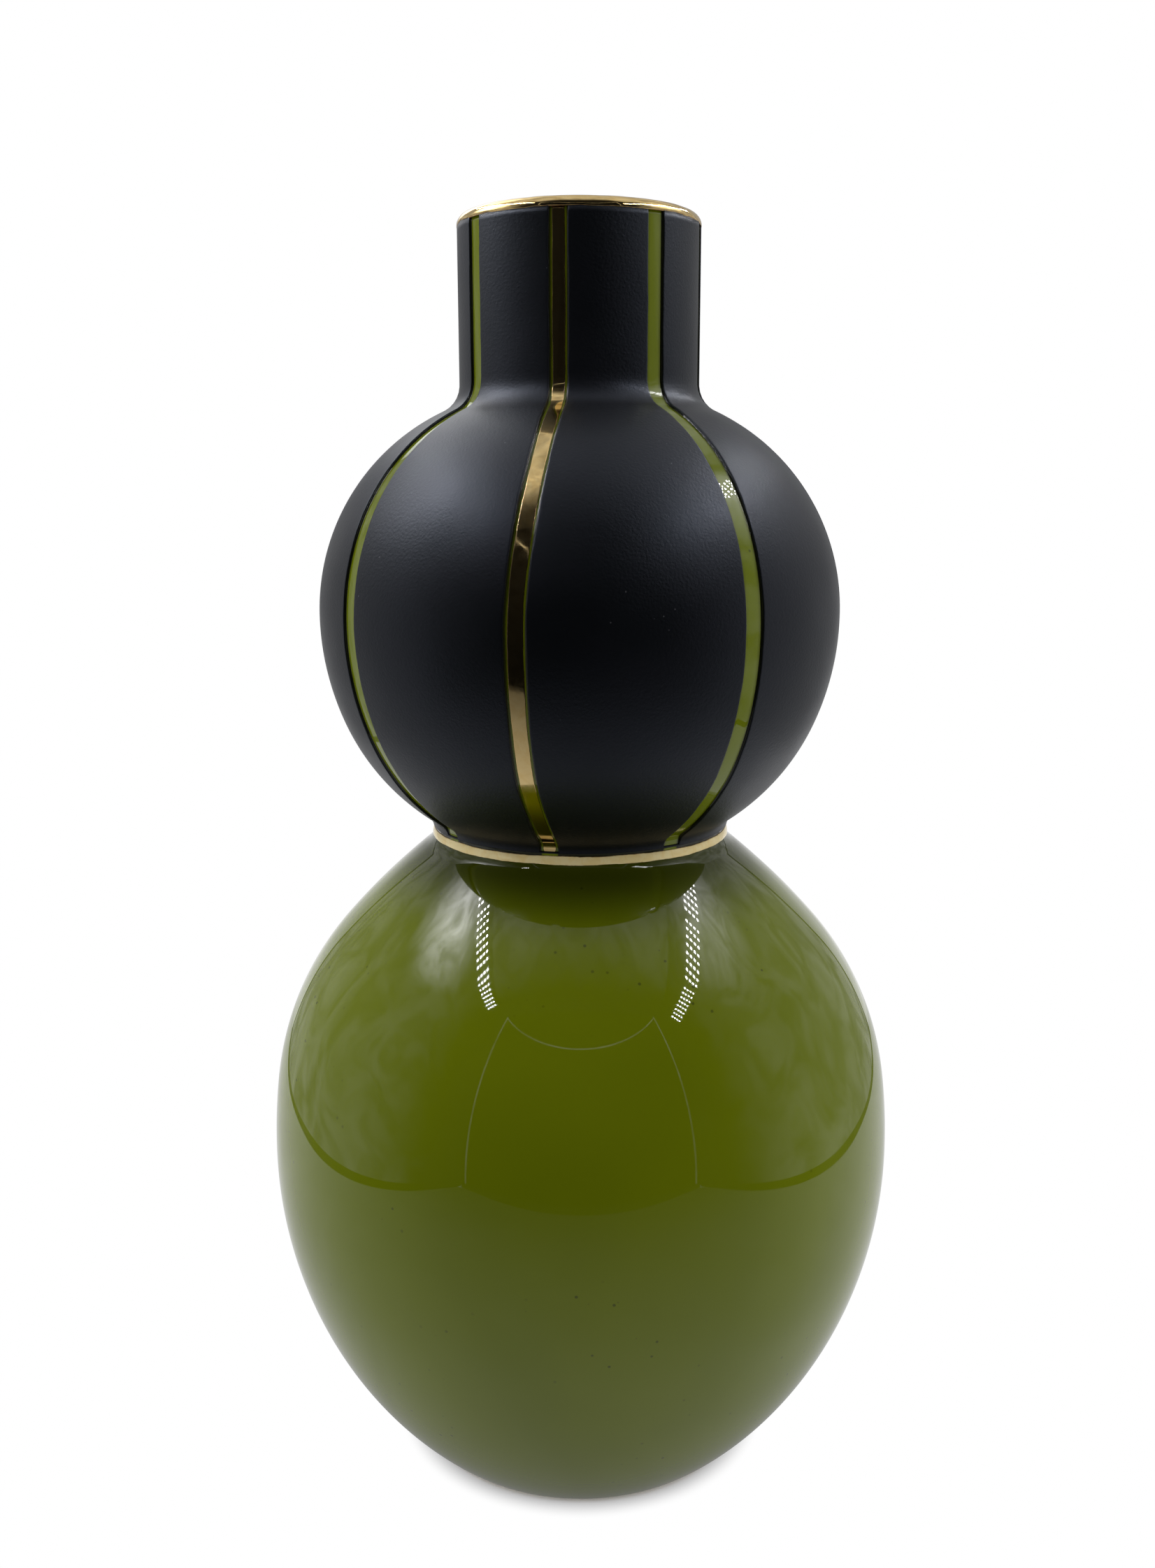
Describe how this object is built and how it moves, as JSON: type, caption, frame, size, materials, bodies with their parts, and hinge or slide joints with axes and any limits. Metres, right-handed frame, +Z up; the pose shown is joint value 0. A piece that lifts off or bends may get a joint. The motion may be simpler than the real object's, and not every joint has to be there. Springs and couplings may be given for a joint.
{
  "type": "double gourd vase",
  "caption": "Glazed double gourd vase: round lower bulb, smaller ball above a gilded waist, straight neck with a gilded lip, black panels parted by green and gold stripes.",
  "frame": {"origin": "centre of the foot, on the surface that the vase stands on", "axes": "+Z up along the axis of the vase; a gold stripe faces -Y, turned 11 degrees towards -X"},
  "size_m": [0.1616, 0.1616, 0.315],
  "materials": {
    "stoneware_clay": "bare fired clay",
    "slip": "fired slip",
    "green_glaze": "high gloss olive green glaze",
    "matt_black": "matt black glaze with a soft sheen",
    "gold_lustre": "burnished gold lustre"
  },
  "bodies": {
    "root": {"lower_gourd": "stoneware_clay", "upper_gourd": "stoneware_clay", "neck_collar": "stoneware_clay", "waist_luting_ring": "slip", "neck_luting_ring": "slip", "lower_green_glaze": "green_glaze", "upper_green_glaze": "green_glaze", "inner_glaze_lining": "green_glaze", "base_glaze": "green_glaze", "black_hem": "matt_black", "gold_waist_band": "gold_lustre", "gold_lip_band": "gold_lustre", "black_gore_1": "matt_black", "black_gore_2": "matt_black", "black_gore_3": "matt_black", "black_gore_4": "matt_black", "black_gore_5": "matt_black", "black_gore_6": "matt_black", "black_gore_7": "matt_black", "black_gore_8": "matt_black", "gold_stripe_1": "gold_lustre", "gold_stripe_2": "gold_lustre", "gold_stripe_3": "gold_lustre", "gold_stripe_4": "gold_lustre"}
  },
  "joints": []
}
